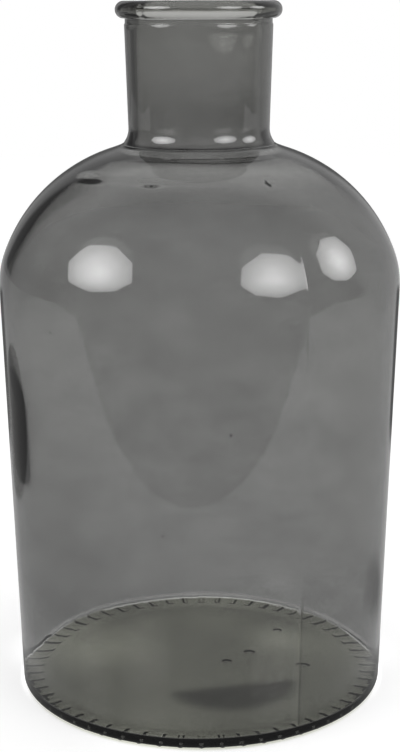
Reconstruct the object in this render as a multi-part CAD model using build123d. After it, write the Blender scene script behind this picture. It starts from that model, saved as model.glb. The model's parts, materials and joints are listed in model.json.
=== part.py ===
from build123d import *
import math
import os

# A bottle vase moulded in one piece of glass. It stands on z = 0 with its axis on Z.
# Lengths are in millimetres and angles in degrees.

# Body: a tall drum that widens a little from its foot to the shoulder
body_radius = 86.3
body_height = 180.3
body_taper = 5.1

# Shoulder: a tight arc off the wall that runs on into a flatter dome
shoulder_corner_radius = 40.3
shoulder_corner_turn = 22.8
shoulder_dome_radius = 72.3

# Neck: widens a little upwards, spreads at its foot, and has a small step where the mould's neck
# ring closed
neck_foot_radius = 29.85
neck_length = 59.62
neck_flare = 1.3
neck_spread_height = 4.6
neck_spread_reach = 2.4
neck_spread_rounding = 9.5
neck_foot_fillet = 1.5
collar_length = 9.5
collar_step = 0.3

# Lip: a rounded bead with a fire-polished mouth
lip_overhang = 4.05
lip_bead_radius = 3.6
mouth_rounding = 2.4

# Glass thickness, and the rounding inside the neck's foot
wall = 2.8
neck_wall = 3.85
throat_rounding = 14.0

# Base: a rounded heel, a flat bearing ring and a domed push-up under the floor
heel_radius = 2.5
inner_heel_radius = 2.5
bearing_width = 14.0
push_up = 4.0
floor_thickness = 3.8

# Knurls: short radial ribs on the bearing ring that the vase stands on
knurl_count = 56
knurl_length = 7.6
knurl_width = 1.9
knurl_height = 0.7
knurl_inset = 2.1


def on_arc(centre, radius, angle):
    """The point of a circle in the section plane at an angle from the radial direction."""
    turn = math.radians(angle)
    return (centre[0] + radius * math.cos(turn), centre[1] + radius * math.sin(turn))


def end_angle(centre, radius, reach):
    """The angle at which an arc over the shoulder comes to a distance from the axis."""
    return math.degrees(math.acos((reach - centre[0]) / radius))


def arc_between(centre, radius, start, end):
    """An arc of the section from one angle to another."""
    return CenterArc(centre, radius, start, end - start)


# The wall leans outwards by this angle, and the shoulder starts square to it
base_radius = body_radius - body_taper
lean = math.degrees(math.atan2(body_taper, body_height - knurl_height))
corner_end = shoulder_corner_turn - lean
body_top = (body_radius, body_height)
corner_centre = on_arc(body_top, -shoulder_corner_radius, -lean)
corner_top = on_arc(corner_centre, shoulder_corner_radius, corner_end)
dome_centre = on_arc(corner_top, -shoulder_dome_radius, corner_end)

# Heights and radii that follow from the shoulder and the neck
dome_end = end_angle(dome_centre, shoulder_dome_radius, neck_foot_radius + neck_spread_reach)
neck_foot = on_arc(dome_centre, shoulder_dome_radius, dome_end)
neck_spread_top = (neck_foot_radius, neck_foot[1] + neck_spread_height)
height = neck_foot[1] + neck_length
neck_top = (neck_foot_radius + neck_flare, height - collar_length)
collar_radius = neck_top[0] - collar_step
lip_centre = (collar_radius + lip_overhang - lip_bead_radius, height - lip_bead_radius)
bore_radius = neck_foot_radius - neck_wall

# The inside keeps the wall's thickness up to the throat, where the bore starts
inner_dome_radius = shoulder_dome_radius - wall
inner_corner_radius = shoulder_corner_radius - wall
throat_angle = end_angle(dome_centre, inner_dome_radius, bore_radius)
throat = on_arc(dome_centre, inner_dome_radius, throat_angle)
floor_edge_height = knurl_height + floor_thickness
floor_edge_reach = (floor_edge_height - knurl_height) * math.tan(math.radians(lean))
floor_edge_radius = base_radius + floor_edge_reach - wall / math.cos(math.radians(lean))

# Corners of the section
underside = (0, push_up)
bearing_edge = (base_radius - bearing_width, knurl_height)
heel = (base_radius, knurl_height)
collar_foot = (collar_radius, neck_top[1])
collar_top = (collar_radius, lip_centre[1])
crest = (lip_centre[0], height)
mouth = (bore_radius, height)
floor_edge = (floor_edge_radius, floor_edge_height)
floor_middle = (0, push_up + floor_thickness)

roundings = [
    (heel, heel_radius),
    (neck_foot, neck_foot_fillet),
    (neck_spread_top, neck_spread_rounding),
    (mouth, mouth_rounding),
    (throat, throat_rounding),
    (floor_edge, inner_heel_radius),
]

with BuildPart() as glass:
    # Half section of the vessel, turned about its axis
    with BuildSketch(Plane.XZ) as section:
        with BuildLine():
            # Outside, from the push-up to the mouth
            TangentArc(underside, bearing_edge, tangent=(1, 0))
            Polyline(bearing_edge, heel, body_top)
            arc_between(corner_centre, shoulder_corner_radius, -lean, corner_end)
            arc_between(dome_centre, shoulder_dome_radius, corner_end, dome_end)
            Polyline(neck_foot, neck_spread_top, neck_top, collar_foot, collar_top, lip_centre)
            Polyline(lip_centre, crest, mouth, throat)
            # Inside, from the throat down to the floor
            arc_between(dome_centre, inner_dome_radius, throat_angle, corner_end)
            inner_corner = arc_between(corner_centre, inner_corner_radius, corner_end, -lean)
            Line(inner_corner @ 1, floor_edge)
            TangentArc(floor_middle, floor_edge, tangent=(1, 0))
            Line(floor_middle, underside)
        make_face()
        for corner, radius in roundings:
            fillet(section.vertices().sort_by_distance(corner)[0], radius)
        with Locations(lip_centre):
            Circle(lip_bead_radius)
    revolve(axis=Axis.Z)
    # Ring of ribs under the bearing ring, rooted in the thickness of the floor
    with BuildSketch(Plane.XY):
        with PolarLocations(base_radius - knurl_inset - knurl_length / 2, knurl_count):
            SlotOverall(knurl_length, knurl_width)
    extrude(amount=floor_edge_height)

os.makedirs("parts", exist_ok=True)
export_step(glass.part, "parts/glass_vase.step")

print("height", round(height, 2), "width", round(2 * body_radius, 2))
print("bore radius", round(bore_radius, 3), "from", round(throat[1], 2), "to", round(height, 2))
print("glass volume in cubic centimetres", round(glass.part.volume / 1000, 1))
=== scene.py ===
import json
import math

import bmesh
import bpy
from mathutils import Matrix, Vector, noise


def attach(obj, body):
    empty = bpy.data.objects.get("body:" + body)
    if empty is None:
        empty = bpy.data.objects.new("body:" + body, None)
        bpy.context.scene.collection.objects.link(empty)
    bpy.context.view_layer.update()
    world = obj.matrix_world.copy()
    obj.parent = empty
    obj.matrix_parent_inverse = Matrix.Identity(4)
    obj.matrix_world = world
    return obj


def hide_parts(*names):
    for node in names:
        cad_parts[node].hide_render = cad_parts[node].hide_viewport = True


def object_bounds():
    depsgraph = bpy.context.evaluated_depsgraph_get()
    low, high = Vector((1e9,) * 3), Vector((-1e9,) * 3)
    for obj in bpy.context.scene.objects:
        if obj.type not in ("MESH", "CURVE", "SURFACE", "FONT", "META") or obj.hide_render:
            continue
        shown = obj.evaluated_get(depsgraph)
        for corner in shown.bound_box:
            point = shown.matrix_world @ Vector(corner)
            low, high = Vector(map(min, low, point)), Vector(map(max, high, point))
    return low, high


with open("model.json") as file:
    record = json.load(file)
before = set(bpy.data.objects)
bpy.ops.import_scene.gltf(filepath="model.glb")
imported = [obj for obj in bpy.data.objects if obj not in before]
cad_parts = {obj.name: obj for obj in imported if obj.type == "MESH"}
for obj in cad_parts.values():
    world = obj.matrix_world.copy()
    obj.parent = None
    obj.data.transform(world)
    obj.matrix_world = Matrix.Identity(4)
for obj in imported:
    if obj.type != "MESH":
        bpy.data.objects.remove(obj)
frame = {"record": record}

cad_low, cad_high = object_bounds()

# A bottle vase of smoke-coated glass, remade as one fine mesh around the solid's own sizes.
# Sizes are in millimetres and angles in degrees. A turn is counted to the right from the front,
# which faces -Y. MM turns millimetres into metres.
MM = 0.001

# Outer form, as the solid has it
BODY_RADIUS = 86.3
BODY_HEIGHT = 180.3
BODY_TAPER = 5.1
SHOULDER_CORNER_RADIUS = 40.3
SHOULDER_CORNER_TURN = 22.8
SHOULDER_DOME_RADIUS = 72.3
NECK_FOOT_RADIUS = 29.85
NECK_FLARE = 1.3
NECK_SPREAD_HEIGHT = 4.6
NECK_SPREAD_REACH = 2.4
NECK_SPREAD_ROUNDING = 9.5
NECK_FOOT_FILLET = 1.5
COLLAR_LENGTH = 9.5
COLLAR_STEP = 0.3
LIP_OVERHANG = 4.05
LIP_BEAD_RADIUS = 3.6
MOUTH_ROUNDING = 2.4
HEEL_RADIUS = 2.5
BEARING_WIDTH = 14.0
PUSH_UP = 4.0
# The end of the shoulder sweeps up to the neck's foot, which the solid has plain: rise and reach
FOOT_SWEEP_RISE = 0.65
FOOT_SWEEP_REACH = 6.0

# Glass thickness
WALL = 2.8
MOUTH = next(mount for mount in frame["record"]["mounts"] if mount["name"] == "mouth")
BORE_RADIUS = MOUTH["dims"]["r_mm"]
THROAT_ROUNDING = 14.0
FLOOR_THICKNESS = 3.8
# Rounding between wall and floor, tighter than the solid has it, and where on its arc the floor starts
INNER_HEEL_RADIUS = 0.9
INNER_HEEL_END = -85.0

# Ribs under the bearing ring
KNURL_COUNT = 56
KNURL_LENGTH = 7.6
KNURL_WIDTH = 1.9
KNURL_HEIGHT = 0.7
KNURL_INSET = 2.1

# Smoke coat: its share on the wall, under the base, up the neck and on the lip
WALL_COAT = 0.81
BASE_COAT = 0.68
NECK_COAT = 0.72
NECK_COAT_HEIGHTS = (246.0, 282.0)
LIP_COAT = 0.39
LIP_COAT_REACH = 3 * LIP_BEAD_RADIUS
# Painted shade on one side of the first seam and a painted highlight on the other, as a change of the
# coat's share, and where that ends
SEAM_PAINTED_LIGHT = 0.25
SEAM_PAINTED_LIGHT_HALF_WIDTH = 0.8
SEAM_PAINTED_LIGHT_END = (50.0, 75.0)
# How far a face looks outwards to carry the seam's painted shade and highlight and the bands, and
# downwards to be base
SEAM_PAINTED_LIGHT_FACING = (0.5, 0.9)
BAND_COAT_FACING = (0.2, 0.6)
BASE_COAT_FACING = (0.2, 0.9)
# Heights where it is thinner or thicker: height, half of its reach, change of the share. The thicker
# bands at 241 and 292.8 are painted shade in the creases at the neck's foot and under the lip
COAT_AND_PAINTED_SHADE_BANDS = (
    (152.0, 32.0, -0.045),
    (233.0, 5.0, -0.2),
    (241.0, 0.9, 0.22),
    (252.0, 12.0, 0.03),
    (292.8, 0.9, 0.2),
)
# A thin ring of painted highlight above the heel, where the coat's share is lower: height, half of its
# reach, and the turn, change and half arc of each stretch of it
PAINTED_HIGHLIGHT_RING_HEIGHT = 5.0
PAINTED_HIGHLIGHT_RING_REACH = 1.0
PAINTED_HIGHLIGHT_RING = (
    (0.0, -0.3, 75.0),
    (-125.0, -0.4, 30.0),
    (118.0, -0.35, 25.0),
    (180.0, -0.2, 30.0),
)
# Spots of it on the wall: turn, height, reach round the wall and up it, and change of the share. The
# first, high on the left shoulder, is painted shade
COAT_AND_PAINTED_SHADE_SPOTS = (
    (-58.0, 191.0, 18.0, 11.0, 0.075),
    (-52.0, 62.0, 42.0, 26.0, 0.06),
    (68.0, 56.0, 26.0, 26.0, 0.06),
)

# Mould seams: two fine ridges, half a turn apart, and the turn of the first
SEAM_TURN = 29.5
SEAM_HEIGHT = 0.05
SEAM_HALF_WIDTH = 0.4
SEAM_END = (205.0, 216.0)

# Unevenness of the blown glass, outside and inside: height and size of its waves, how much they are
# drawn out upwards, and the seed that places them
OUTER_WAVE = (0.04, 30.0, 1, 3.1)
INNER_WAVE = (0.25, 46.0, 2, 7.7)

# Thick and thin places of the wall: how far a face looks inwards to carry them, and the turn, height,
# extra glass, and reach round the wall and up it of each
THICK_FACING = (0.1, 0.4)
THICK_PLACES = (
    (-95.0, 205.0, 0.8, 30.0, 26.0),
    (-38.0, 216.0, -1.1, 60.0, 18.0),
    (20.0, 216.0, -0.8, 40.0, 18.0),
    (-88.0, 6.0, -1.0, 45.0, 22.0),
    (88.0, 6.0, -1.0, 45.0, 22.0),
)

# A fold in the shoulder's inside, where the gather met the mould: height, half width, and the turn,
# depth and half arc of each stretch of it
FOLD_HEIGHT = 228.2
FOLD_HALF_WIDTH = 0.9
FOLD_STRETCHES = (
    (-10.0, 0.15, 40.0),
    (-54.0, 0.7, 7.0),
    (-20.5, 0.5, 3.5),
    (30.0, 0.5, 1.2),
)

# A thick cord of glass in the left wall: turn, depth, half width, and where it starts and ends
CORD_TURN = -71.0
CORD_DEPTH = 1.25
CORD_HALF_WIDTH = 14.0
CORD_STARTS = (97.0, 103.0)
CORD_ENDS = (130.0, 156.0)

# A thick run of glass inside the neck under the lip: turn, where it starts, is thickest and ends,
# its depth, and its half width
RUN_TURN = 23.0
RUN_HEIGHTS = (278.5, 287.5, 294.0)
RUN_DEPTH = 1.2
RUN_HALF_WIDTH = 13.0

# Fine ripple that the shears and the fire left in the mouth, as a wave
MOUTH_RIPPLE = (0.12, 2.4, 4, 5.2)

# Larger roundings in the corner between wall and floor: turn, extra radius, and half of its arc of
# each, a wave in them, and the height that they stay under
CORNER_LUMPS = (
    (-118.0, 1.0, 28.0),
    (124.0, 1.0, 16.0),
    (94.0, 2.6, 5.0),
)
CORNER_RIPPLE = (0.8, 9.0, 1, 1.3)
CORNER_TOP = 16.0

# Air bubbles in the glass: place to the right, to the back and up, and half sizes
BUBBLES = (
    (11.8, -7.0, 5.9, 2.3, 2.0, 0.9),
    (22.4, 3.2, 5.8, 2.7, 2.2, 0.9),
    (37.4, 31.0, 5.0, 2.3, 2.0, 0.9),
    (46.6, -8.0, 4.7, 2.9, 1.9, 0.9),
)
# Smaller ones in the wall: turn, height and radius
SEEDS = (
    (8.2, 135.5, 0.55),
    (-10.5, 93.6, 0.45),
    (-44.0, 172.0, 0.5),
    (-57.0, 152.0, 0.45),
)

# Mesh fineness: steps round the vase and from one knurl to the next, degrees beside a seam, lengths
# along the section, the height of the fine rings at the foot, and the steps of a small arc
TURN_STEPS = 200
KNURL_STEPS = 10
SEAM_GAPS = (0.0, 0.12, 0.24, 0.4, 0.7)
FINE_STEP = 0.6
FOLD_STEP = 1.4
FOOT_TOP = 9.0
FLOOR_STEP = 2.0
ARC_STEP = 2.0
NECK_STEP = 2.4
WALL_STEP = 6.0
INNER_WALL_STEP = 3.5
CORNER_STEP = 1.0
ARC_TURN = 7.0
ARC_MIN_STEPS = 4
# How close two points count as one, to how many digits two turns do, how far inside the bearing ring the
# rings are still fine, and how often a bubble's skin is divided
SAME_POINT = 0.02
TURN_DIGITS = 4
KNURL_MARGIN = 1.0
BUBBLE_SUBDIVISIONS = 2


def to_linear(hex_colour):
    """A colour written as sRGB hex, as the linear numbers that shaders take."""
    parts = [int(hex_colour[i:i + 2], 16) / 255 for i in (1, 3, 5)]
    return (*[p / 12.92 if p <= 0.04045 else ((p + 0.055) / 1.055) ** 2.4 for p in parts], 1)


def add(tree, kind, inputs=(), **settings):
    """Adds one node. Its inputs come by name or number, or as a list in their own order. Each one is a
    value, an output to link it to, or a node whose first output it is linked to."""
    made = tree.nodes.new(kind)
    for name, value in settings.items():
        setattr(made, name, value)
    for key, value in inputs.items() if isinstance(inputs, dict) else enumerate(inputs):
        if isinstance(value, bpy.types.Node):
            value = value.outputs[0]
        if isinstance(value, bpy.types.NodeSocket):
            tree.links.new(value, made.inputs[key])
        else:
            made.inputs[key].default_value = value
    return made


def new_material(name):
    """An empty node material and its output node."""
    material = bpy.data.materials.new(name)
    material.use_nodes = True
    material.node_tree.nodes.clear()
    return material, add(material.node_tree, "ShaderNodeOutputMaterial")


def to_front(turn):
    """The angle from +X of a turn to the right from the front."""
    return turn - 90


def between(turn, other):
    """From one angle round the axis to another, from -180 to 180 degrees."""
    return (turn - other + 180) % 360 - 180


def eased(value, low, high):
    """A soft step from 0 at low to 1 at high."""
    share = min(1, max(0, (value - low) / (high - low)))
    return share * share * (3 - 2 * share)


# Section of the vessel: each function gives points as (radius, height)

def arc(centre, radius, start, end, step=ARC_STEP):
    """Points along an arc, closer together on a small radius."""
    length = abs(math.radians(end - start)) * radius
    steps = max(ARC_MIN_STEPS, math.ceil(abs(end - start) / ARC_TURN), math.ceil(length / step))
    turns = [math.radians(start + (end - start) * i / steps) for i in range(steps + 1)]
    return [(centre[0] + radius * math.cos(t), centre[1] + radius * math.sin(t)) for t in turns]


def straight(start, end, step):
    """Points along a straight stretch."""
    steps = max(1, math.ceil(math.dist(start, end) / step))
    return [tuple(a + (b - a) * i / steps for a, b in zip(start, end)) for i in range(steps + 1)]


def rounded_corner(before, corner, after, radius):
    """Points of the rounding at a corner, from the side of one point to the side of another."""
    to_before = (Vector(before) - Vector(corner)).normalized()
    to_after = (Vector(after) - Vector(corner)).normalized()
    half = to_before.angle(to_after) / 2
    reach = radius / math.tan(half)
    centre = Vector(corner) + (to_before + to_after).normalized() * radius / math.sin(half)
    ends = [Vector(corner) + way * reach - centre for way in (to_before, to_after)]
    start, end = [math.degrees(math.atan2(off.y, off.x)) for off in ends]
    return arc(centre, radius, start, start + between(end, start), FINE_STEP)


def dome(middle_height, edge, step):
    """Points of a shallow dome from the axis out to its edge, level at the axis."""
    steps = math.ceil(edge[0] / step)
    rise = edge[1] - middle_height
    return [(edge[0] * i / steps, middle_height + rise * (i / steps) ** 2) for i in range(1, steps + 1)]


def shoulder_centres():
    """The lean of the wall, the end of the shoulder's tight arc, and the centres of its two arcs."""
    lean = math.degrees(math.atan2(BODY_TAPER, BODY_HEIGHT - KNURL_HEIGHT))
    corner_end = SHOULDER_CORNER_TURN - lean
    turn, end = math.radians(-lean), math.radians(corner_end)
    corner_radius = BODY_RADIUS - SHOULDER_CORNER_RADIUS * math.cos(turn)
    corner = (corner_radius, BODY_HEIGHT - SHOULDER_CORNER_RADIUS * math.sin(turn))
    reach = SHOULDER_CORNER_RADIUS - SHOULDER_DOME_RADIUS
    return lean, corner_end, corner, (corner[0] + reach * math.cos(end), corner[1] + reach * math.sin(end))


LEAN, CORNER_END, CORNER_CENTRE, DOME_CENTRE = shoulder_centres()
BASE_RADIUS = BODY_RADIUS - BODY_TAPER
HEIGHT = cad_high.z / MM
COLLAR_FOOT = HEIGHT - COLLAR_LENGTH


def rounded_to_line(dome_radius, rounding, line_radius):
    """Where the dome's arc hands over to a rounding that ends on an upright line."""
    reach = dome_radius + rounding
    end = math.acos((line_radius + rounding - DOME_CENTRE[0]) / reach)
    centre = (DOME_CENTRE[0] + reach * math.cos(end), DOME_CENTRE[1] + reach * math.sin(end))
    return math.degrees(end), centre


def base_section():
    """Underside, from the axis to the start of the heel, with rings close to both ends of the knurls."""
    bearing_edge = (BASE_RADIUS - BEARING_WIDTH, KNURL_HEIGHT)
    heel_start = (BASE_RADIUS - HEEL_RADIUS, KNURL_HEIGHT)
    knurl_start = BASE_RADIUS - KNURL_INSET - KNURL_LENGTH
    before = (knurl_start - KNURL_HEIGHT, KNURL_HEIGHT)
    after = (knurl_start + KNURL_HEIGHT, KNURL_HEIGHT)
    points = dome(PUSH_UP, bearing_edge, 2 * FLOOR_STEP) + straight(bearing_edge, before, FLOOR_STEP)
    points += straight(before, after, FINE_STEP) + straight(after, heel_start, 2 * FINE_STEP)
    return points


def collar_section(neck_start, neck_top, collar_radius, lip_start):
    """Neck and collar, with rings close to both edges of the step between them."""
    collar_foot = (collar_radius, COLLAR_FOOT + COLLAR_STEP)
    close_by = COLLAR_STEP / 2
    bevel = COLLAR_STEP / 6
    points = straight(neck_start, (neck_top[0], neck_top[1] - close_by), NECK_STEP)
    points.append((neck_top[0] - bevel, neck_top[1]))
    points.append((collar_radius + bevel, collar_foot[1] - close_by))
    return points + straight((collar_radius, collar_foot[1] + close_by), lip_start, FINE_STEP)


def swept_up(points, foot_radius):
    """The shoulder's points, raised a little towards the neck's foot."""
    reaches = [max(0, 1 - (radius - foot_radius) / FOOT_SWEEP_REACH) for radius, height in points]
    return [(r, z + FOOT_SWEEP_RISE * min(1, reach) ** 2) for (r, z), reach in zip(points, reaches)]


def outer_section():
    """Heel, wall, shoulder, neck and lip, up to the crest of the lip."""
    heel_centre = (BASE_RADIUS - HEEL_RADIUS, KNURL_HEIGHT + HEEL_RADIUS)
    foot_radius = NECK_FOOT_RADIUS + NECK_SPREAD_REACH
    foot_turn = math.acos((foot_radius - DOME_CENTRE[0]) / SHOULDER_DOME_RADIUS)
    dome_top = DOME_CENTRE[1] + SHOULDER_DOME_RADIUS * math.sin(foot_turn)
    foot = (foot_radius, dome_top + FOOT_SWEEP_RISE)
    foot_side = (foot[0] + math.sin(foot_turn), foot[1] - math.cos(foot_turn))
    spread_top = (NECK_FOOT_RADIUS, dome_top + NECK_SPREAD_HEIGHT)
    foot_rounding = rounded_corner(foot_side, foot, spread_top, NECK_FOOT_FILLET)
    dome_end = math.degrees(math.acos((foot_rounding[0][0] - DOME_CENTRE[0]) / SHOULDER_DOME_RADIUS))
    neck_top = (NECK_FOOT_RADIUS + NECK_FLARE, COLLAR_FOOT)
    collar_radius = NECK_FOOT_RADIUS + NECK_FLARE - COLLAR_STEP
    lip_centre = (collar_radius + LIP_OVERHANG - LIP_BEAD_RADIUS, HEIGHT - LIP_BEAD_RADIUS)
    lip_start = -math.degrees(math.acos((collar_radius - lip_centre[0]) / LIP_BEAD_RADIUS))
    lip = arc(lip_centre, LIP_BEAD_RADIUS, lip_start, 90)
    points = arc(heel_centre, HEEL_RADIUS, -90, -LEAN)
    foot_wall = points[-1][0] + (FOOT_TOP - points[-1][1]) * math.tan(math.radians(LEAN))
    points += straight(points[-1], (foot_wall, FOOT_TOP), FINE_STEP)
    points += straight(points[-1], (BODY_RADIUS, BODY_HEIGHT), WALL_STEP)
    points += arc(CORNER_CENTRE, SHOULDER_CORNER_RADIUS, -LEAN, CORNER_END)
    points += swept_up(arc(DOME_CENTRE, SHOULDER_DOME_RADIUS, CORNER_END, dome_end), foot_radius)
    points += foot_rounding + rounded_corner(foot, spread_top, neck_top, NECK_SPREAD_ROUNDING)
    points += collar_section(points[-1], neck_top, collar_radius, lip[0])
    return points + lip


def inner_section():
    """Mouth, bore, throat, inner shoulder, inner wall and floor, down to the axis."""
    mouth_centre = (BORE_RADIUS + MOUTH_ROUNDING, HEIGHT - MOUTH_ROUNDING)
    inner_dome = SHOULDER_DOME_RADIUS - WALL
    throat_end, throat_centre = rounded_to_line(inner_dome, THROAT_ROUNDING, BORE_RADIUS)
    inner_corner = arc(CORNER_CENTRE, SHOULDER_CORNER_RADIUS - WALL, CORNER_END, -LEAN)
    wall_end = inner_corner[-1]
    heel_height = KNURL_HEIGHT + FLOOR_THICKNESS + INNER_HEEL_RADIUS
    heel_wall = wall_end[0] - (wall_end[1] - heel_height) * math.tan(math.radians(LEAN))
    heel = arc((heel_wall - INNER_HEEL_RADIUS, heel_height), INNER_HEEL_RADIUS, -LEAN, INNER_HEEL_END)
    floor = dome(PUSH_UP + FLOOR_THICKNESS, heel[-1], FLOOR_STEP)
    points = arc(mouth_centre, MOUTH_ROUNDING, 90, 180)
    points += straight(points[-1], (BORE_RADIUS, throat_centre[1]), NECK_STEP)
    points += arc(throat_centre, THROAT_ROUNDING, 180, throat_end + 180)
    points += arc(DOME_CENTRE, inner_dome, throat_end, CORNER_END, FOLD_STEP)
    points += inner_corner
    share = (CORNER_TOP - heel[0][1]) / (wall_end[1] - heel[0][1])
    corner_start = tuple(a + (b - a) * share for a, b in zip(heel[0], wall_end))
    points += straight(wall_end, corner_start, INNER_WALL_STEP)
    points += straight(corner_start, heel[0], CORNER_STEP)
    return points + heel + floor[::-1]


def without_repeats(points):
    """Drops a point that lies on the one before it."""
    kept = points[:1]
    for point in points[1:]:
        if math.dist(point, kept[-1]) > SAME_POINT:
            kept.append(point)
    return kept


def normals_along(points):
    """Direction out of the glass at each point of the section."""
    found = []
    for i, point in enumerate(points):
        a, b = points[max(i - 1, 0)], points[min(i + 1, len(points) - 1)]
        length = math.dist(a, b)
        found.append(((b[1] - a[1]) / length, (a[0] - b[0]) / length))
    return found


# How far each point of the glass moves out of the plain section

def wave(place, form):
    """Smooth unevenness of blown glass, with bumps of about one size."""
    height, size, drawn_out, seed = form
    place = Vector((place[0], place[1], place[2] / drawn_out))
    return height * noise.noise(place / size + Vector((seed, seed, seed)))


def seam_rise(turn, radius):
    """How far a mould seam stands out of the wall at one angle."""
    rise = 0
    for seam in (SEAM_TURN, SEAM_TURN + 180):
        off = math.radians(between(turn, to_front(seam))) * radius
        rise += SEAM_HEIGHT * math.exp(-((off / SEAM_HALF_WIDTH) ** 2))
    return rise


def humps(turn, stretches):
    """Sum of soft humps round the axis, each given by its turn, its height and half of its arc."""
    return sum(h * math.exp(-((between(turn, to_front(t)) / half) ** 2)) for t, h, half in stretches)


def knurl_shift(turn, point, normal, place):
    """Knurls under the bearing ring, down to the plane that the vase stands on."""
    pitch = 360 / KNURL_COUNT
    across = abs(math.radians((turn + pitch / 2) % pitch - pitch / 2) * point[0])
    outer_end = BASE_RADIUS - KNURL_INSET
    along = max(point[0] - outer_end, outer_end - KNURL_LENGTH - point[0])
    edge = KNURL_HEIGHT / 2
    share = 1 - eased(across, KNURL_WIDTH / 2 - edge, KNURL_WIDTH / 2 + edge)
    return point[1] * share * (1 - eased(along, -edge, edge))


def outer_shift(turn, point, normal, place):
    """Faint mould ripple, and the seams, which the fire polished away above the shoulder."""
    on_wall = point[0] > BASE_RADIUS - HEEL_RADIUS / 2 and point[1] > HEEL_RADIUS
    seam = seam_rise(turn, point[0]) * (1 - eased(point[1], *SEAM_END)) if on_wall else 0
    return wave(place, OUTER_WAVE) * min(1, point[0] / NECK_FOOT_RADIUS) + seam


def fold_rise(turn, point):
    """The fold inside the shoulder, deeper on some stretches."""
    off = (point[1] - FOLD_HEIGHT) / FOLD_HALF_WIDTH
    return humps(turn, FOLD_STRETCHES) * math.exp(-off * off)


def cord_rise(turn, point):
    """The thick cord in the left wall, with a short lower end and a long upper one."""
    across = math.radians(between(turn, to_front(CORD_TURN))) * point[0] / CORD_HALF_WIDTH
    share = eased(point[1], *CORD_STARTS) * (1 - eased(point[1], *CORD_ENDS))
    return CORD_DEPTH * share * math.exp(-across * across)


def run_rise(turn, point):
    """The thick run of glass under the lip: a hollow curve down to its start, and a short end above."""
    start, peak, end = RUN_HEIGHTS
    across = math.radians(between(turn, to_front(RUN_TURN))) * point[0] / RUN_HALF_WIDTH
    share = (min(1, max(0, (point[1] - start) / (peak - start)))) ** 2
    return RUN_DEPTH * share * (1 - eased(point[1], peak, end)) * math.exp(-across * across)


def corner_rise(turn, point, normal, place):
    """How far the rounding between wall and floor lies from the plain section, where it is larger."""
    radius = INNER_HEEL_RADIUS + humps(turn, CORNER_LUMPS) * (1 + wave(place, CORNER_RIPPLE))
    from_wall = BASE_RADIUS - WALL - point[0] - radius
    from_floor = point[1] - KNURL_HEIGHT - FLOOR_THICKNESS - radius
    if from_wall >= 0 or from_floor >= 0:
        return 0
    outside = from_wall ** 2 + from_floor ** 2 - radius ** 2
    toward = -normal[0] * from_wall + normal[1] * from_floor
    return -toward - math.sqrt(max(0, toward ** 2 - outside)) if outside > 0 else 0


def inner_shift(turn, point, normal, place):
    """The blown wall's uneven thickness. More glass moves the inner face away from the outer one."""
    extra = wave(place, INNER_WAVE)
    inwards = eased(-normal[0], *THICK_FACING)
    for side, height, amount, reach, rise in THICK_PLACES:
        across = math.radians(between(turn, to_front(side))) * point[0] / reach
        along = (point[1] - height) / rise
        extra += amount * math.exp(-across * across - along * along) * inwards
    extra += fold_rise(turn, point) + run_rise(turn, point) + cord_rise(turn, point)
    extra += wave(place, MOUTH_RIPPLE) * eased(point[1], *RUN_HEIGHTS[1:])
    if point[1] < CORNER_TOP:
        extra += corner_rise(turn, point, normal, place)
    return extra * min(1, point[0] / BORE_RADIUS)


# Mesh of the vessel, ring by ring

def ring_turns(steps):
    """Angles round one ring, with a few more across each seam."""
    turns = {round(360 * i / steps, TURN_DIGITS) for i in range(steps)}
    for seam in (to_front(SEAM_TURN), to_front(SEAM_TURN + 180)):
        for gap in SEAM_GAPS:
            turns |= {round((seam + side * gap) % 360, TURN_DIGITS) for side in (-1, 1)}
    return sorted(turns)


COARSE_TURNS = ring_turns(TURN_STEPS)
FINE_TURNS = sorted(set(COARSE_TURNS) | set(ring_turns(KNURL_COUNT * KNURL_STEPS)))


def ring(mesh, point, normal, turns, shift):
    """One ring of the vessel, moved along its normal by what shift says at each angle."""
    verts = []
    for turn in turns:
        a = math.radians(turn)
        place = (point[0] * math.cos(a), point[0] * math.sin(a), point[1])
        off = shift(turn, point, normal, place)
        radius = point[0] + normal[0] * off
        height = point[1] + normal[1] * off
        verts.append(mesh.verts.new((radius * math.cos(a) * MM, radius * math.sin(a) * MM, height * MM)))
    return turns, verts


def span(verts, first, last):
    """The points of a ring from one place to another, going on past its start."""
    if last <= first:
        return verts[first:] + verts[:last + 1]
    return verts[first:last + 1]


def stitch(mesh, below, above):
    """Faces between two rings. Where one is finer, its extra points join the other's wider faces."""
    (turns_a, verts_a), (turns_b, verts_b) = below, above
    places_a = {t: i for i, t in enumerate(turns_a)}
    places_b = {t: i for i, t in enumerate(turns_b)}
    shared = [t for t in turns_a if t in places_b]
    for here, there in zip(shared, shared[1:] + shared[:1]):
        lower = span(verts_a, places_a[here], places_a[there])
        upper = span(verts_b, places_b[here], places_b[there])
        mesh.faces.new(lower + upper[::-1])


def close(mesh, edge, height):
    """Closes the middle of the base with a fan of triangles, and gives its middle point."""
    verts = edge[1]
    tip = mesh.verts.new((0, 0, height * MM))
    for a, b in zip(verts, verts[1:] + verts[:1]):
        mesh.faces.new((a, b, tip))
    return tip


def bubble(mesh, place, half_sizes):
    """A small air bubble in the glass: a closed skin whose faces look into it."""
    grown = Matrix.Translation(Vector(place) * MM) @ Matrix.Diagonal((*(Vector(half_sizes) * MM), 1))
    made = bmesh.ops.create_icosphere(mesh, subdivisions=BUBBLE_SUBDIVISIONS, radius=1, matrix=grown)
    faces = {face for vert in made["verts"] for face in vert.link_faces}
    bmesh.ops.reverse_faces(mesh, faces=list(faces))


def add_bubbles(mesh):
    """Bubbles in the floor, and smaller ones half way into the wall."""
    for right, back, up, *half_sizes in BUBBLES:
        bubble(mesh, (right, back, up), half_sizes)
    for turn, height, size in SEEDS:
        a = math.radians(to_front(turn))
        radius = BASE_RADIUS + height * math.tan(math.radians(LEAN)) - WALL / 2
        bubble(mesh, (radius * math.cos(a), radius * math.sin(a), height), (size, size, size))


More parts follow.
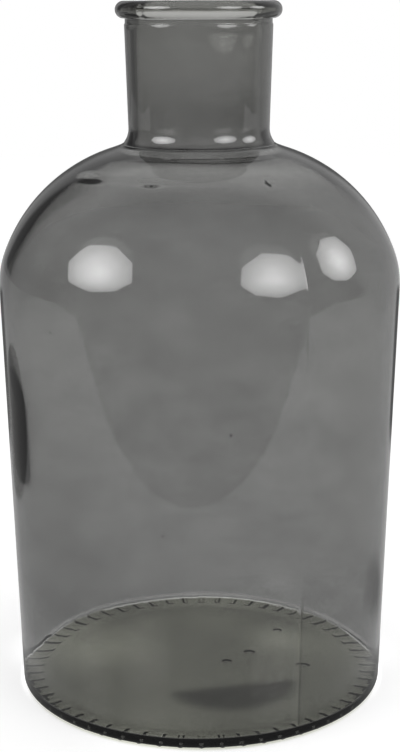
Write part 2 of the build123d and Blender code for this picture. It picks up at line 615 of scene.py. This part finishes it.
def coat_and_painted_light_at(turn, point, normal):
    """Share of the smoke coat: thinner under the base, up the neck and where the lip was reheated, and
    uneven in bands and spots. It also carries painted light: painted shade and a painted highlight on
    either side of the seam near the foot, painted shade in the creases at the neck's foot and under the
    lip and in a spot on the left shoulder, and a painted highlight in a ring above the heel."""
    # Painted shade and a painted highlight on either side of the seam near the foot
    across = math.radians(between(turn, to_front(SEAM_TURN))) * point[0] / SEAM_PAINTED_LIGHT_HALF_WIDTH
    seam = SEAM_PAINTED_LIGHT * across * math.exp(-across * across) * (1 - eased(point[1], *SEAM_PAINTED_LIGHT_END))
    seam *= eased(normal[0], *SEAM_PAINTED_LIGHT_FACING)
    # Bands of the coat, with painted shade in the creases at the neck's foot and under the lip
    coat_and_painted_light_bands = sum(c * math.exp(-(((point[1] - h) / reach) ** 2)) for h, reach, c in COAT_AND_PAINTED_SHADE_BANDS)
    # Painted highlight in a ring above the heel
    off_highlight_ring = (point[1] - PAINTED_HIGHLIGHT_RING_HEIGHT) / PAINTED_HIGHLIGHT_RING_REACH
    coat_and_painted_light_bands += humps(turn, PAINTED_HIGHLIGHT_RING) * math.exp(-off_highlight_ring * off_highlight_ring)
    coat_and_painted_light_bands *= eased(normal[0], *BAND_COAT_FACING)
    # Spots of the coat, the one high on the left shoulder painted shade
    coat_and_painted_shade_spots = 0
    for side, height, reach, rise, change in COAT_AND_PAINTED_SHADE_SPOTS:
        around = math.radians(between(turn, to_front(side))) * point[0] / reach
        along = (point[1] - height) / rise
        coat_and_painted_shade_spots += change * math.exp(-around * around - along * along)
    neck = (NECK_COAT - WALL_COAT) * eased(point[1], *NECK_COAT_HEIGHTS)
    lip = (LIP_COAT - NECK_COAT) * eased(point[1], HEIGHT - LIP_COAT_REACH, HEIGHT)
    under = 0
    if point[1] < BODY_HEIGHT:
        under = (BASE_COAT - WALL_COAT) * eased(-normal[1], *BASE_COAT_FACING)
    return WALL_COAT + seam + coat_and_painted_light_bands + coat_and_painted_shade_spots + neck + lip + under


def build_vessel():
    """The whole glass as one closed mesh, outside and inside, with the coat's share, which also carries
    painted shade and highlights, marked on its outside.
    """
    mesh = bmesh.new()
    section = without_repeats(base_section() + outer_section() + inner_section())
    normals = normals_along(section)
    crest = max(range(len(section)), key=lambda i: section[i][1])
    coat_and_painted_light = mesh.verts.layers.float.new("coat_and_painted_light")
    rings = []
    for i, (point, normal) in enumerate(zip(section, normals)):
        outside = i <= crest
        near_table = point[1] < KNURL_HEIGHT + HEEL_RADIUS / 2
        if outside and near_table and point[0] > BASE_RADIUS - BEARING_WIDTH - KNURL_MARGIN:
            made = ring(mesh, point, (0, -1), FINE_TURNS, knurl_shift)
        else:
            made = ring(mesh, point, normal, COARSE_TURNS, outer_shift if outside else inner_shift)
        for turn, vert in zip(*made):
            vert[coat_and_painted_light] = coat_and_painted_light_at(turn, point, normal) if outside else 0
        rings.append(made)
    for below, above in zip(rings, rings[1:]):
        stitch(mesh, below, above)
    close(mesh, rings[0], PUSH_UP)[coat_and_painted_light] = BASE_COAT
    close(mesh, rings[-1], PUSH_UP + FLOOR_THICKNESS)
    bmesh.ops.recalc_face_normals(mesh, faces=mesh.faces)
    add_bubbles(mesh)
    data = bpy.data.meshes.new("smoke_glass_vessel")
    mesh.to_mesh(data)
    mesh.free()
    for face in data.polygons:
        face.use_smooth = True
    vessel = bpy.data.objects.new("smoke_glass_vessel", data)
    bpy.context.scene.collection.objects.link(vessel)
    return vessel


# Colours as sRGB hex: plain white, the coat at its full share, and the glass along its depth
WHITE = "#FFFFFF"
FULL_COAT = "#101011"
GLASS_DEPTH = "#A6A79E"
GLASS_DEPTH_DENSITY = 97.0
GLASS_IOR = 1.52
# The coat's clouds: size, how much flatter than wide they are, fineness, and what they do to its share
CLOUD_SIZE = 30.0
CLOUD_FLATTENING = (1, 1, 2)
CLOUD_DETAIL = 5.0
CLOUD_ROUGHNESS = 0.6
CLOUD_RANGE = (0.3, 0.7)
CLOUD_LEVELS = (0.93, 1.0)
# The fine skin that the mould left: size and depth of its bumps
SKIN_SIZE = 9.0
SKIN_DEPTH = 0.02


def smoke_coated_glass():
    """Blown soda-lime glass with a thin smoke-grey coat on its outside.

    The glass is a faint olive where it is thick, and darkens light that runs along inside it. The
    sprayed coat greys what is seen through the wall, less at the lip, and is a little cloudy. Its share
    also carries painted shade and highlights: beside the seam, in creases, in a spot on the shoulder and
    in a ring above the heel. The polished face mirrors the softboxes sharply.
    """
    material, out = new_material("blown_soda_lime_glass_with_smoke_coat")
    tree = material.node_tree
    place = add(tree, "ShaderNodeTexCoord").outputs["Object"]
    # The coat's share, which also carries painted shade and highlights
    coated = add(tree, "ShaderNodeAttribute", attribute_name="coat_and_painted_light", attribute_type="GEOMETRY")
    flattened = add(tree, "ShaderNodeVectorMath", (place, CLOUD_FLATTENING), operation="MULTIPLY")
    clouds = add(tree, "ShaderNodeTexNoise", {
        "Vector": flattened,
        "Scale": 1 / (CLOUD_SIZE * MM),
        "Detail": CLOUD_DETAIL,
        "Roughness": CLOUD_ROUGHNESS,
    })
    cloudy = add(tree, "ShaderNodeMapRange", (clouds.outputs["Fac"], *CLOUD_RANGE, *CLOUD_LEVELS))
    share = add(tree, "ShaderNodeMath", (coated.outputs["Fac"], cloudy), operation="MULTIPLY")
    clear, grey = to_linear(WHITE), to_linear(FULL_COAT)
    tint = add(tree, "ShaderNodeMix", {0: share, 6: clear, 7: grey}, data_type="RGBA")
    skin = add(tree, "ShaderNodeTexNoise", {"Vector": place, "Scale": 1 / (SKIN_SIZE * MM)})
    bump = add(tree, "ShaderNodeBump", {"Height": skin.outputs["Fac"], "Distance": SKIN_DEPTH * MM})
    glass = add(tree, "ShaderNodeBsdfPrincipled", {
        "Base Color": tint.outputs[2],
        "Roughness": 0.0,
        "IOR": GLASS_IOR,
        "Transmission Weight": 1.0,
        "Normal": bump,
    })
    depth = add(tree, "ShaderNodeVolumeAbsorption", {
        "Color": to_linear(GLASS_DEPTH),
        "Density": GLASS_DEPTH_DENSITY,
    })
    tree.links.new(glass.outputs[0], out.inputs["Surface"])
    tree.links.new(depth.outputs[0], out.inputs["Volume"])
    return material


# Camera: level with the rim, looking down, in the photograph's upright frame of 400 by 752 pixels, so
# that its sensor's width spans the frame's height
CAMERA_DISTANCE = 660.0
CAMERA_TILT = 13.7
CAMERA_ROLL = 0.22
FOCAL_PIXELS = 1541.0
FRAME_HEIGHT_PIXELS = 752
SENSOR_WIDTH = 36.0
CLIP_START = 10.0


def place_camera():
    """The photograph's viewpoint."""
    data = bpy.data.cameras.new("camera")
    data.sensor_width = SENSOR_WIDTH
    data.lens = FOCAL_PIXELS / FRAME_HEIGHT_PIXELS * SENSOR_WIDTH
    data.clip_start = CLIP_START * MM
    camera = bpy.data.objects.new("camera", data)
    tilt = Matrix.Rotation(math.radians(90 - CAMERA_TILT), 4, "X")
    roll = Matrix.Rotation(math.radians(-CAMERA_ROLL), 4, "Z")
    camera.matrix_world = Matrix.Translation((0, -CAMERA_DISTANCE * MM, cad_high.z)) @ tilt @ roll
    bpy.context.scene.collection.objects.link(camera)
    bpy.context.scene.camera = camera


# Studio: a white table with its front edge near the vase, a pale backdrop in a dim room, a dark
# flag at the left of it, and softboxes round the front
TABLE_FRONT = 350.0
TABLE_SLANT = 4.0
TABLE_SIDE = 2400.0
TABLE_BACK = 2400.0
LAMINATE = "#D8D8D8"
# Light levels, where 1 is white: what the table gives off where it is seen straight or through the
# glass, and the room's even light
TABLE_GLOW = 0.56
ROOM_LIGHT = 0.62
# Glossy depth above which light was mirrored on its way
MIRRORED_ONCE = 0.5
# Levels as the glass mirrors them. The table and the backdrop go from one level at the left to another
# at the right, between two places on the table and two shares of a direction in the room
TABLE_MIRRORED = (0.5, 0.6)
TABLE_SIDES = (-500.0, 400.0)
BACKDROP_MIRRORED = (0.36, 0.6)
BACKDROP_SIDES = (-0.7, 0.4)
ROOM_MIRRORED = 0.03
FLAG_MIRRORED = 0.16
SHADOW_MIRRORED = 0.2
BEHIND_MIRRORED = 0.15
# How far back a direction goes where the backdrop starts and where it is full
BACKDROP_STARTS = (0.05, 0.4)
# Where the flag stands: turn, half of its width without and with its soft edge, its foot and its top
FLAG_TURN = -142.0
FLAG_HALF_WIDTHS = (5.0, 11.0)
FLAG_FOOT = (-2.5, -0.5)
FLAG_TOPS = (32.0, 48.0)
# The flag's shadow at the back left of the table: middle, turn and half sizes, and as shares of these
# its soft edge and its fading across
SHADOW_PLACE = (-377.0, 340.0)
SHADOW_TURN = 129.0
SHADOW_HALF_SIZES = (215.0, 150.0)
SHADOW_EDGES = (0.9, 1.02)
SHADOW_ACROSS = (-1.2, -0.2)
# A smaller shade beside the vase's right foot
SHADE_PLACE = (165.0, 62.0)
SHADE_HALF_SIZES = (58.0, 54.0)
SHADE_EDGES = (0.3, 1.1)
SHADE_MIRRORED = 0.34
# A painted contact shadow: the dark ring on the table where the vase stands, as the foot mirrors it
CONTACT_SHADOW_MIRRORED = 0.26
CONTACT_SHADOW_RADII = (88.0, 106.0)
# The dark strip right behind the vase: its soft edges on the table, as shares of the way back, and
# where it starts and ends there, and its soft edges and top in the room, as shares of a direction
STRIP_EDGES = (0.44, 0.58)
STRIP_STARTS = (300.0, 400.0)
STRIP_ENDS = (850.0, 1050.0)
ROOM_STRIP_EDGES = (0.2, 0.34)
ROOM_STRIP_TOPS = (0.1, 0.3)
# Light under the base: its tint through the glass, and the darker crescent under the push-up, a disc
# that is cut off across its middle
UNDER_TINT = "#F2F4E2"
CRESCENT_MIDDLE = (13.0, -19.0)
CRESCENT_TURN = 13.5
CRESCENT_HALF_SIZES = (31.0, 31.0)
CRESCENT_EDGES = (0.75, 1.1)
CRESCENT_CUT = (-0.28, 0.0)
CRESCENT_SHADE = 0.75
# Brighter places under the base, where the wall gathers light: place, half size and gain
GATHERED = (
    (-52.0, 24.0, 46.0, 1.2),
    (-25.0, 52.0, 16.0, 0.3),
    (5.0, 64.0, 46.0, 0.6),
    (36.0, 30.0, 24.0, 0.55),
    (58.0, 20.0, 42.0, 0.45),
    (-20.0, -64.0, 40.0, 0.25),
)
# The ring of light behind the vase that the corner between wall and floor gathers on the table, and
# where it starts at the sides
RIM_RADIUS = 81.0
RIM_HALF_WIDTH = 2.5
RIM_GAIN = 2.2
RIM_STARTS = (-40.5, 40.5)
# What makes a change of level soft, and the levels of one that fades out
SOFT = {"interpolation_type": "SMOOTHSTEP"}
FADING = (1.0, 0.0)


def way_to(turn, rise):
    """The direction at a turn from the front and a height above the horizon."""
    a, e = math.radians(turn), math.radians(rise)
    return Vector((math.sin(a) * math.cos(e), -math.cos(a) * math.cos(e), math.sin(e)))


def in_metres(lengths):
    """Lengths as Blender takes them."""
    return [length * MM for length in lengths]


def sines(angles):
    """Angles as shares of a direction."""
    return [math.sin(math.radians(angle)) for angle in angles]


def mirrored_rays(tree):
    """1 for light that the glass has mirrored on its way, 0 for light seen straight or through it."""
    depth = add(tree, "ShaderNodeLightPath").outputs["Glossy Depth"]
    return add(tree, "ShaderNodeMath", (depth, MIRRORED_ONCE), operation="GREATER_THAN")


def inside_patch(tree, place, middle, turn, half_sizes):
    """How far a place lies from the middle of an oval patch of the table, whose edge is 1 away, and how
    far across it."""
    inside = add(tree, "ShaderNodeMapping", {
        "Vector": place,
        "Location": (*in_metres(middle), 0),
        "Rotation": (0, 0, math.radians(turn)),
        "Scale": (*in_metres(half_sizes), 1),
    }, vector_type="TEXTURE")
    far = add(tree, "ShaderNodeVectorMath", (inside,), operation="LENGTH")
    split = add(tree, "ShaderNodeSeparateXYZ", (inside,))
    return far.outputs["Value"], split.outputs["Y"]


def mirrored_table_level(tree, place):
    """The table as the glass mirrors it: pale, with a painted shadow at the back left, a painted shade
    beside the right foot, dark right behind, and a painted contact shadow where the vase stands."""
    split = add(tree, "ShaderNodeSeparateXYZ", (place,))
    right, back = split.outputs["X"], split.outputs["Y"]
    level = add(tree, "ShaderNodeMapRange", (right, *in_metres(TABLE_SIDES), *TABLE_MIRRORED), **SOFT)
    # Strip behind the vase, wider further back
    aside = add(tree, "ShaderNodeMath", (right,), operation="ABSOLUTE")
    aside = add(tree, "ShaderNodeMath", (aside, BODY_RADIUS * MM), operation="SUBTRACT")
    way_back = add(tree, "ShaderNodeMath", (back, MM), operation="MAXIMUM")
    aside = add(tree, "ShaderNodeMath", (aside, way_back), operation="DIVIDE")
    strip = add(tree, "ShaderNodeMapRange", (aside, *STRIP_EDGES, *FADING), **SOFT)
    starts = add(tree, "ShaderNodeMapRange", (back, *in_metres(STRIP_STARTS)), **SOFT)
    ends = add(tree, "ShaderNodeMapRange", (back, *in_metres(STRIP_ENDS), *FADING), **SOFT)
    for limit in (starts, ends):
        strip = add(tree, "ShaderNodeMath", (strip, limit), operation="MULTIPLY")
    level = add(tree, "ShaderNodeMix", {"Factor": strip, "A": level, "B": BEHIND_MIRRORED}, data_type="FLOAT")
    # Painted contact shadow where the vase stands, and the painted shade beside it
    far = add(tree, "ShaderNodeVectorMath", (place,), operation="LENGTH").outputs["Value"]
    away = add(tree, "ShaderNodeMapRange", (far, *in_metres(CONTACT_SHADOW_RADII)), **SOFT)
    level = add(tree, "ShaderNodeMix", {"Factor": away, "A": CONTACT_SHADOW_MIRRORED, "B": level}, data_type="FLOAT")
    far, across = inside_patch(tree, place, SHADE_PLACE, 0, SHADE_HALF_SIZES)
    away = add(tree, "ShaderNodeMapRange", (far, *SHADE_EDGES), **SOFT)
    level = add(tree, "ShaderNodeMix", {"Factor": away, "A": SHADE_MIRRORED, "B": level}, data_type="FLOAT")
    # The flag's shadow
    far, across = inside_patch(tree, place, SHADOW_PLACE, SHADOW_TURN, SHADOW_HALF_SIZES)
    edge = add(tree, "ShaderNodeMapRange", (far, *SHADOW_EDGES, *FADING), **SOFT)
    fade = add(tree, "ShaderNodeMapRange", (across, *SHADOW_ACROSS), **SOFT)
    dark = add(tree, "ShaderNodeMath", (edge, fade), operation="MULTIPLY")
    return add(tree, "ShaderNodeMix", {"Factor": dark, "A": level, "B": SHADOW_MIRRORED}, data_type="FLOAT")


def light_under_base(tree, place):
    """Tint and level of the table's light: white, and under the base tinted by the glass, darker in a
    crescent and brighter where the glass gathers it."""
    far, across = inside_patch(tree, place, CRESCENT_MIDDLE, CRESCENT_TURN, CRESCENT_HALF_SIZES)
    disc = add(tree, "ShaderNodeMapRange", (far, *CRESCENT_EDGES, *FADING), **SOFT)
    cut = add(tree, "ShaderNodeMapRange", (across, *CRESCENT_CUT, *FADING), **SOFT)
    dark = add(tree, "ShaderNodeMath", (disc, cut), operation="MULTIPLY")
    level = add(tree, "ShaderNodeMapRange", {"Value": dark, "To Min": 1.0, "To Max": 1 - CRESCENT_SHADE})
    for *middle, size, gain in GATHERED:
        far, across = inside_patch(tree, place, middle, 0, (size, size))
        bright = add(tree, "ShaderNodeMapRange", (far, 0.0, 1.0, 1 + gain, 1.0), **SOFT)
        level = add(tree, "ShaderNodeMath", (level, bright), operation="MULTIPLY")
    far = add(tree, "ShaderNodeVectorMath", (place,), operation="LENGTH").outputs["Value"]
    off = add(tree, "ShaderNodeMath", (far, RIM_RADIUS * MM), operation="SUBTRACT")
    off = add(tree, "ShaderNodeMath", (off,), operation="ABSOLUTE")
    rim = add(tree, "ShaderNodeMapRange", (off, 0.0, RIM_HALF_WIDTH * MM, RIM_GAIN, 0.0), **SOFT)
    back = add(tree, "ShaderNodeSeparateXYZ", (place,)).outputs["Y"]
    starts = add(tree, "ShaderNodeMapRange", (back, *in_metres(RIM_STARTS)), **SOFT)
    rim = add(tree, "ShaderNodeMath", (rim, starts), operation="MULTIPLY")
    rim = add(tree, "ShaderNodeMath", (rim, 1.0), operation="ADD")
    level = add(tree, "ShaderNodeMath", (level, rim), operation="MULTIPLY")
    heel = in_metres((BASE_RADIUS - HEEL_RADIUS, BASE_RADIUS))
    clear = add(tree, "ShaderNodeMapRange", (far, *heel), **SOFT)
    under, beside = to_linear(UNDER_TINT), to_linear(WHITE)
    tint = add(tree, "ShaderNodeMix", {0: clear, 6: under, 7: beside}, data_type="RGBA")
    return tint.outputs[2], level


def white_table():
    """Table of white laminate, smooth and matt. It is white to the camera and through the glass, keeps
    the vase's shadow, and where it is mirrored shows painted shadows and shade on paler and darker levels."""
    mesh = bpy.data.meshes.new("table")
    slope = math.tan(math.radians(TABLE_SLANT))
    corners = [
        (-TABLE_SIDE, -TABLE_FRONT + TABLE_SIDE * slope),
        (TABLE_SIDE, -TABLE_FRONT - TABLE_SIDE * slope),
        (TABLE_SIDE, TABLE_BACK),
        (-TABLE_SIDE, TABLE_BACK),
    ]
    mesh.from_pydata([(x * MM, y * MM, 0) for x, y in corners], [], [(0, 1, 2, 3)])
    table = bpy.data.objects.new("table", mesh)
    bpy.context.scene.collection.objects.link(table)
    material, out = new_material("white_laminate_table")
    tree = material.node_tree
    place = add(tree, "ShaderNodeNewGeometry").outputs["Position"]
    path = add(tree, "ShaderNodeLightPath")
    ways_seen = (path.outputs["Is Camera Ray"], path.outputs["Is Transmission Ray"])
    seen = add(tree, "ShaderNodeMath", ways_seen, operation="MAXIMUM")
    tint, level = light_under_base(tree, place)
    glow = add(tree, "ShaderNodeMath", (seen, TABLE_GLOW), operation="MULTIPLY")
    glow = add(tree, "ShaderNodeMath", (glow, level), operation="MULTIPLY")
    lit = add(tree, "ShaderNodeBsdfDiffuse", {"Color": to_linear(LAMINATE)})
    shown = add(tree, "ShaderNodeEmission", {"Color": tint, "Strength": glow})
    both = add(tree, "ShaderNodeAddShader", (lit, shown))
    mirrored_level = mirrored_table_level(tree, place)
    mirrored = add(tree, "ShaderNodeEmission", {"Color": to_linear(WHITE), "Strength": mirrored_level})
    surface = add(tree, "ShaderNodeMixShader", (mirrored_rays(tree), both, mirrored))
    tree.links.new(surface.outputs[0], out.inputs["Surface"])
    mesh.materials.append(material)


def mirrored_room_level(tree):
    """The room as the glass mirrors it: a pale backdrop behind, a dark flag at its left, a dim front."""
    way = add(tree, "ShaderNodeTexCoord").outputs["Generated"]
    split = add(tree, "ShaderNodeSeparateXYZ", (way,))
    right, back, up = [split.outputs[axis] for axis in "XYZ"]
    behind = add(tree, "ShaderNodeMapRange", (back, *BACKDROP_STARTS), **SOFT)
    tone = add(tree, "ShaderNodeMapRange", (right, *BACKDROP_SIDES, *BACKDROP_MIRRORED), **SOFT)
    room = add(tree, "ShaderNodeMix", {"Factor": behind, "A": ROOM_MIRRORED, "B": tone}, data_type="FLOAT")
    # Strip behind the vase, near the table
    aside = add(tree, "ShaderNodeMath", (right,), operation="ABSOLUTE")
    strip = add(tree, "ShaderNodeMapRange", (aside, *ROOM_STRIP_EDGES, *FADING), **SOFT)
    top = add(tree, "ShaderNodeMapRange", (up, *ROOM_STRIP_TOPS, *FADING), **SOFT)
    for limit in (behind, top):
        strip = add(tree, "ShaderNodeMath", (strip, limit), operation="MULTIPLY")
    room = add(tree, "ShaderNodeMix", {"Factor": strip, "A": room, "B": BEHIND_MIRRORED}, data_type="FLOAT")
    # Flag
    along_flag = way_to(FLAG_TURN + 90, 0)
    across = add(tree, "ShaderNodeVectorMath", (way, along_flag), operation="DOT_PRODUCT")
    across = add(tree, "ShaderNodeMath", (across.outputs["Value"],), operation="ABSOLUTE")
    flag = add(tree, "ShaderNodeMapRange", (across, *sines(FLAG_HALF_WIDTHS), *FADING), **SOFT)
    foot = add(tree, "ShaderNodeMapRange", (up, *sines(FLAG_FOOT)), **SOFT)
    top = add(tree, "ShaderNodeMapRange", (up, *sines(FLAG_TOPS), *FADING), **SOFT)
    for limit in (foot, top, behind):
        flag = add(tree, "ShaderNodeMath", (flag, limit), operation="MULTIPLY")
    return add(tree, "ShaderNodeMix", {"Factor": flag, "A": room, "B": FLAG_MIRRORED}, data_type="FLOAT")


def studio_room():
    """World: white wherever it is seen straight or through the glass, and the room where it is mirrored."""
    world = bpy.data.worlds.new("studio")
    bpy.context.scene.world = world
    world.use_nodes = True
    tree = world.node_tree
    tree.nodes.clear()
    out = add(tree, "ShaderNodeOutputWorld")
    diffuse = add(tree, "ShaderNodeLightPath").outputs["Is Diffuse Ray"]
    lit = add(tree, "ShaderNodeMix", {"Factor": diffuse, "A": 1.0, "B": ROOM_LIGHT}, data_type="FLOAT")
    level = add(tree, "ShaderNodeMix", {
        "Factor": mirrored_rays(tree),
        "A": lit,
        "B": mirrored_room_level(tree),
    }, data_type="FLOAT")
    sky = add(tree, "ShaderNodeBackground", {"Color": to_linear(WHITE), "Strength": level})
    tree.links.new(sky.outputs[0], out.inputs["Surface"])


# Softboxes: how far away they stand, the height that they face, and the sides of their cloth
SOFTBOX_DISTANCE = 1100.0
SOFTBOX_AIM_HEIGHT = 200.0
SOFTBOX_SIDES = 8
# Level of the lit cloth at its middle and its edge, and power of the lamp behind it in watts
SOFTBOX_LEVELS = (12.0, 3.5)
SOFTBOX_POWER = 2.0
# Turn, height above the horizon, half width, half height and share of that level of each softbox
SOFTBOXES = (
    ("softbox_left", -62.0, 27.0, 420.0, 330.0, 0.95),
    ("softbox_right", 44.0, 26.0, 380.0, 350.0, 0.86),
    ("softbox_side", 90.0, 23.0, 275.0, 250.0, 0.74),
)


def softbox_cloth(share):
    """Woven white cloth of a softbox, lit from behind and brighter at the middle. It shows in
    reflections only."""
    material, out = new_material("lit_softbox_cloth")
    tree = material.node_tree
    place = add(tree, "ShaderNodeTexCoord").outputs["Object"]
    far = add(tree, "ShaderNodeVectorMath", (place,), operation="LENGTH").outputs["Value"]
    middle, edge = [level * share for level in SOFTBOX_LEVELS]
    level = add(tree, "ShaderNodeMapRange", {"Value": far, "To Min": middle, "To Max": edge})
    glow = add(tree, "ShaderNodeEmission", {"Strength": level})
    clear = add(tree, "ShaderNodeBsdfTransparent")
    both = add(tree, "ShaderNodeMixShader", (mirrored_rays(tree), clear, glow))
    tree.links.new(both.outputs[0], out.inputs["Surface"])
    return material


def place_softboxes():
    """Octagonal softboxes round the front, each with a lamp behind its cloth."""
    aim = Vector((0, 0, SOFTBOX_AIM_HEIGHT)) * MM
    for name, turn, rise, half_width, half_height, share in SOFTBOXES:
        way = way_to(turn, rise)
        mesh = bpy.data.meshes.new(name)
        corners = [math.radians(360 * i / SOFTBOX_SIDES) for i in range(SOFTBOX_SIDES)]
        mesh.from_pydata([(math.cos(c), math.sin(c), 0) for c in corners], [], [tuple(range(SOFTBOX_SIDES))])
        mesh.materials.append(softbox_cloth(share))
        box = bpy.data.objects.new(name, mesh)
        box.location = aim + way * SOFTBOX_DISTANCE * MM
        box.rotation_euler = way.to_track_quat("Z", "Y").to_euler()
        box.scale = (half_width * MM, half_height * MM, 1)
        box.visible_camera = box.visible_diffuse = box.visible_shadow = False
        bpy.context.scene.collection.objects.link(box)
        data = bpy.data.lights.new(name + "_lamp", "AREA")
        data.shape = "DISK"
        data.size = 2 * half_width * MM
        data.energy = SOFTBOX_POWER
        lamp = bpy.data.objects.new(name + "_lamp", data)
        lamp.location = box.location
        lamp.rotation_euler = box.rotation_euler
        lamp.visible_glossy = lamp.visible_transmission = lamp.visible_camera = False
        bpy.context.scene.collection.objects.link(lamp)


vessel = build_vessel()
vessel.data.materials.append(smoke_coated_glass())
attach(vessel, "root")
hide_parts("glass_vase")
place_camera()
white_table()
studio_room()
place_softboxes()
bpy.context.scene.view_settings.view_transform = "Standard"
